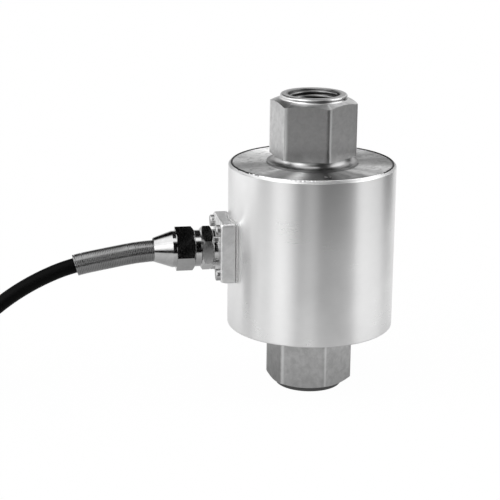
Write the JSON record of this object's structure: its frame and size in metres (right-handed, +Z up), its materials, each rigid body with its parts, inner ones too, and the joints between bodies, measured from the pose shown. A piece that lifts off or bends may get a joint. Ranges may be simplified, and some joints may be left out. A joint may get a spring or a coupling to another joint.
{
  "type": "column load cell",
  "caption": "Round column load cell with hexagon ends and female threads for tension or compression, and a side cable gland with a spring guard and a free cable.",
  "frame": {"origin": "centre of the lower end face, on the axis of the lower threaded hole, where the load cell stands", "axes": "+Z up along the load axis, from the lower to the upper threaded end; -X is the way the cable gland points"},
  "size_m": [0.3175, 0.1125, 0.1402],
  "materials": {
    "satin_steel": "satin turned and milled",
    "screw_steel": "machined",
    "nickel_plate": "bright nickel plated",
    "spring_wire": "drawn wire",
    "seal_rubber": "moulded",
    "cable_jacket": "extruded, satin black",
    "tie_plastic": "moulded black",
    "core_insulation": "extruded",
    "gauge_foil": "polyimide film",
    "board_laminate": "solder mask",
    "spacer_plastic": "moulded natural",
    "resistor_body": "moulded",
    "lead_insulation": "extruded"
  },
  "bodies": {
    "root": {"block_gasket": "seal_rubber", "block_screws": "screw_steel", "board_screws": "screw_steel", "board_spacers": "spacer_plastic", "bottom_cover": "satin_steel", "bridge_board": "board_laminate", "bush_washer": "nickel_plate", "cable": "cable_jacket", "cable_coil": "cable_jacket", "coil_ties": "tie_plastic", "core_ends": "core_insulation", "core_leads": "core_insulation", "gauge_leads": "lead_insulation", "gland_block": "satin_steel", "gland_body": "nickel_plate", "gland_bush": "seal_rubber", "gland_nut": "nickel_plate", "gland_oring": "seal_rubber", "housing_sleeve": "satin_steel", "load_element": "satin_steel", "spring_guard": "spring_wire", "strain_gauges": "gauge_foil", "top_cover": "satin_steel", "trim_resistors": "resistor_body", "vent_screw": "screw_steel"}
  },
  "joints": []
}
